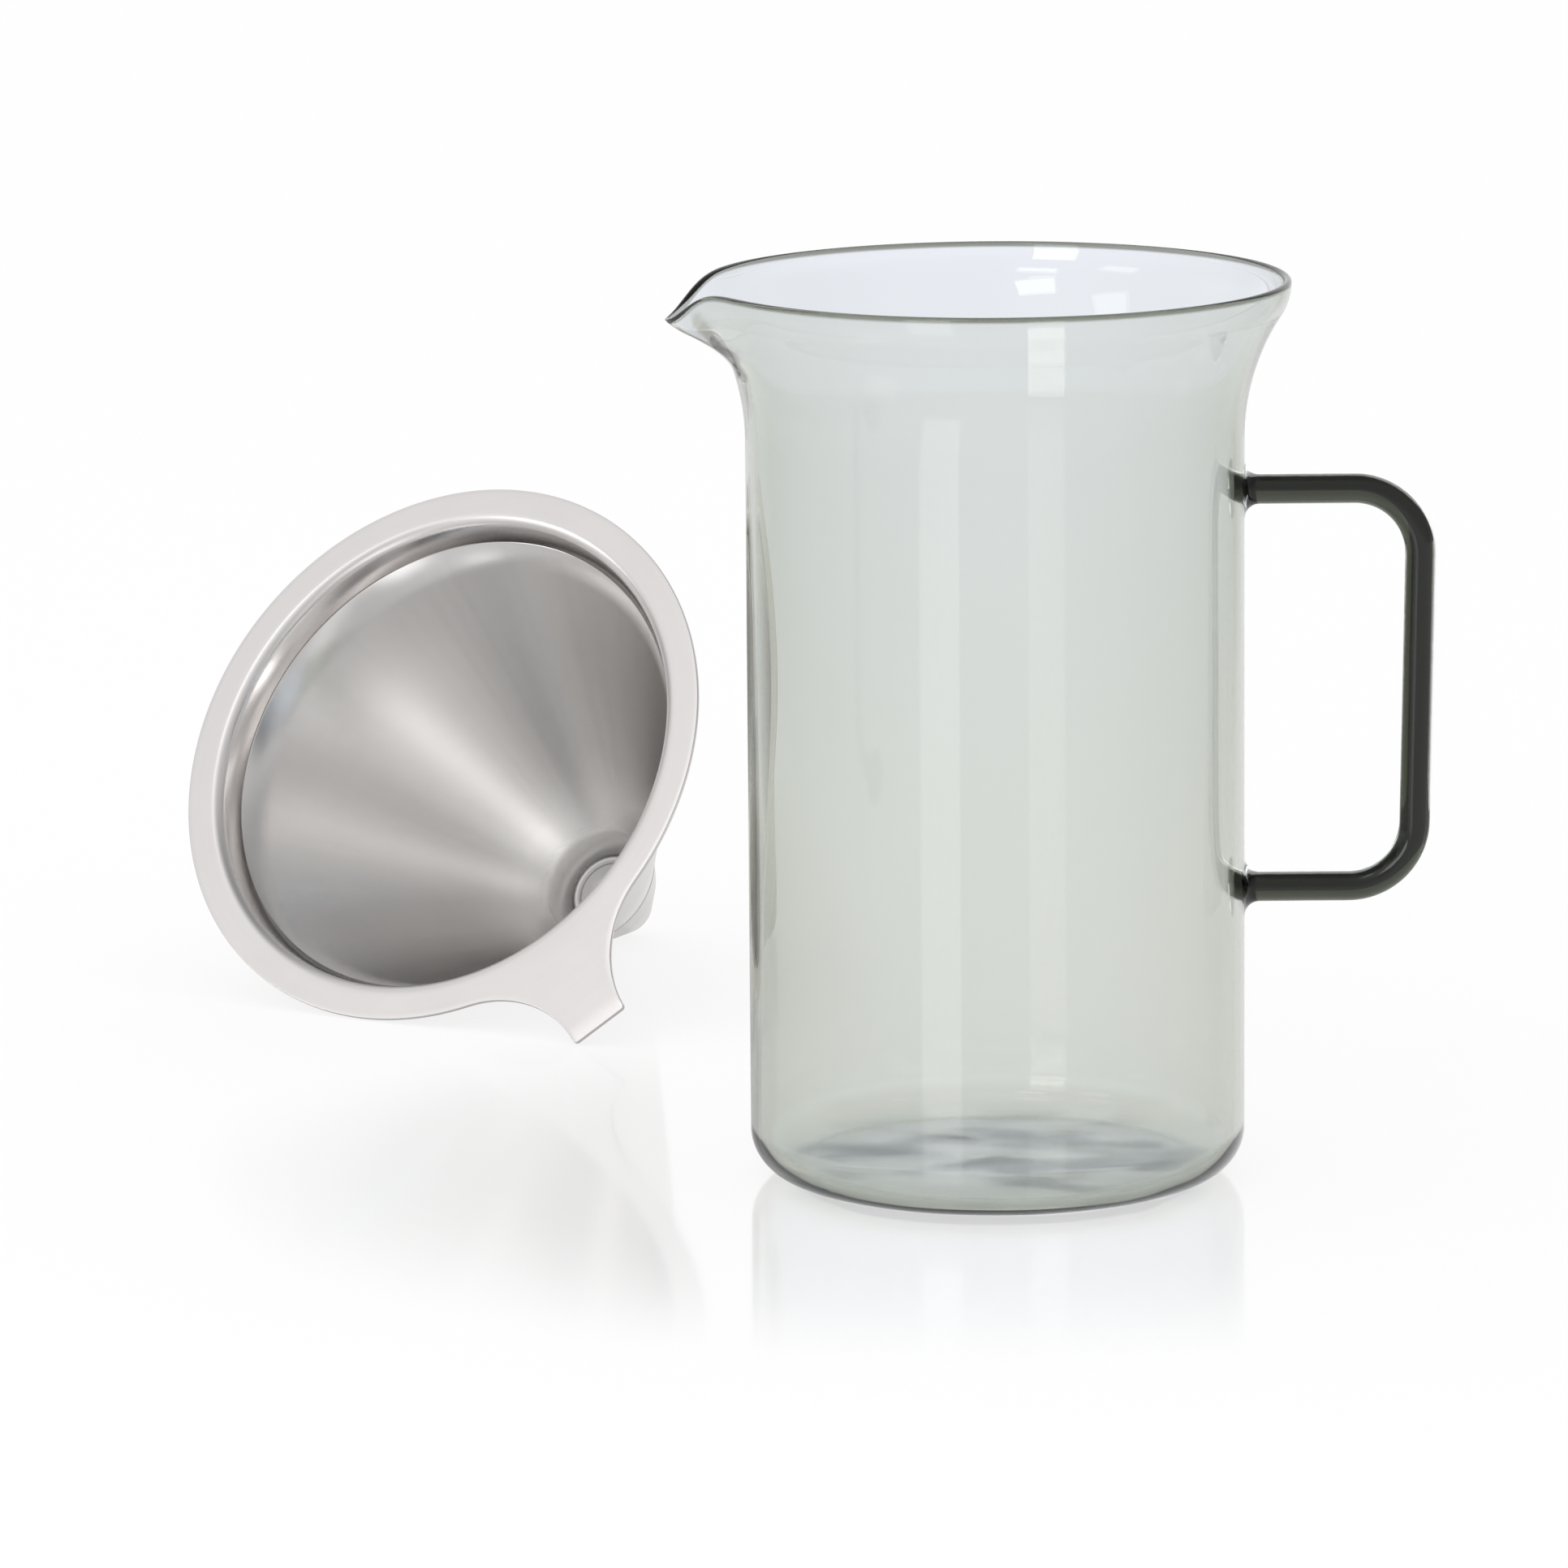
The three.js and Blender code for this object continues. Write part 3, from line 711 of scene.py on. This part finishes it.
def photo_camera():
    """Level with the jug's upper half and a long way off, as the photograph was taken."""
    pitch, roll = CAMERA_PITCH, CAMERA_ROLL
    ahead = Vector((0, cos(pitch), -sin(pitch)))
    right = Vector((1, 0, 0))
    up = right.cross(ahead)
    across = cos(roll) * right + sin(roll) * up
    upward = cos(roll) * up - sin(roll) * right
    lens = bpy.data.cameras.new("photo_camera")
    lens.sensor_width, lens.lens = SENSOR_WIDTH, FOCAL_LENGTH
    lens.clip_start, lens.clip_end = 0.05, 60.0
    holder = bpy.data.objects.new("photo_camera", lens)
    turn = Matrix((across, upward, -ahead)).transposed()
    holder.matrix_world = Matrix.Translation(CAMERA_PLACE) @ turn.to_4x4()
    bpy.context.scene.collection.objects.link(holder)
    bpy.context.scene.camera = holder


# Making the piece

def dress(piece, body, node, finish):
    piece.data.materials.append(finish)
    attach(piece, body)
    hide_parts(node)


photo_camera()

smoky = glass_finish("smoky_glass", (0.385, 0.438, 0.254), 130.0, 0.05)
dark = glass_finish("dark_glass", (0.15, 0.17, 0.09), 840.0, 0.04)
rim_steel = satin_steel("rim_steel", (0.80, 0.775, 0.765), 0.32, 0.25, 0.18)
foot_steel = satin_steel("foot_steel", (0.76, 0.75, 0.74), 0.34, 0.25)
cap_steel = satin_steel("cap_steel", (0.66, 0.645, 0.635), 0.42, 0.2)
cone_steel = woven_steel("cone_steel", (0.76, 0.75, 0.74), 0.34, 0.8)
mesh_steel = woven_steel("mesh_steel", (0.79, 0.775, 0.765), 0.22, 0.4)

jug = turned("jug", jug_section(), jug_angles(), reshape=blown)
mark_lip(jug, jug_section(), len(jug_angles()))
dress(jug, "jug", "glass_jug", smoky)
handle = skin("handle", handle_rings())
dress(handle, "jug", "glass_handle", dark)

rim = skin("rim_with_tab", rim_rings(), looped=True)
dress(rim, "filter", "filter_rim", rim_steel)
mesh_out = OUTER_CONE_WALL + SHEET_GAP
cone_end = FOOT_DEPTH - FOOT_WALL - SHEET_GAP
outer_cone = turned("outer_cone", cone_section(COLLAR_DEPTH - COLLAR_LAP, cone_end, 0.0, OUTER_CONE_WALL),
                    round_angles(168), LYING, looped=True)
dress(outer_cone, "filter", "filter_outer_cone", cone_steel)
inner_mesh = turned("inner_mesh", cone_section(CONE_TOP, MESH_DEPTH, mesh_out, mesh_out + MESH_WALL),
                    round_angles(168), LYING, looped=True)
dress(inner_mesh, "filter", "filter_inner_mesh", mesh_steel)
tip_cap = turned("tip_cap", cap_section(), round_angles(96), LYING)
dress(tip_cap, "filter", "filter_tip_cap", cap_steel)
foot = turned("foot", foot_section(), round_angles(96), LYING)
dress(foot, "filter", "filter_foot", foot_steel)

table = pale_floor()
studio_world()
soft_box("tall_box", (-0.77, -1.52, 0.55), (0.0, 0.0, 0.55), (0.55, 0.95), 2.8, (jug, handle, table))
soft_box("high_box", (-0.44, -0.94, 1.56), (0.0, 0.0, 0.2), (0.4, 0.25), 2.6, (jug, handle))
soft_box("left_box", (-1.52, -0.24, 0.38), (-0.13, 0.2, 0.06), (0.5, 0.4), 3.0, (rim, inner_mesh))
soft_box("rod_box", (0.1, 0.95, 0.75), (0.08, 0.0, 0.1), (3.0, 1.6), 3.0, (handle,))
soft_box("rod_right", (0.4, 0.24, 0.06), (0.093, 0.0, 0.1), (0.35, 0.14), 2.5, (handle,))
soft_box("rod_left", (-0.25, 0.28, 0.05), (0.093, 0.0, 0.1), (0.3, 0.14), 2.5, (handle,))
soft_box("main_box", (-1.27, -0.655, 1.324), (-0.13, 0.2, 0.07), (0.45, 0.38), 1.4)

bpy.context.scene.view_settings.view_transform = "Standard"
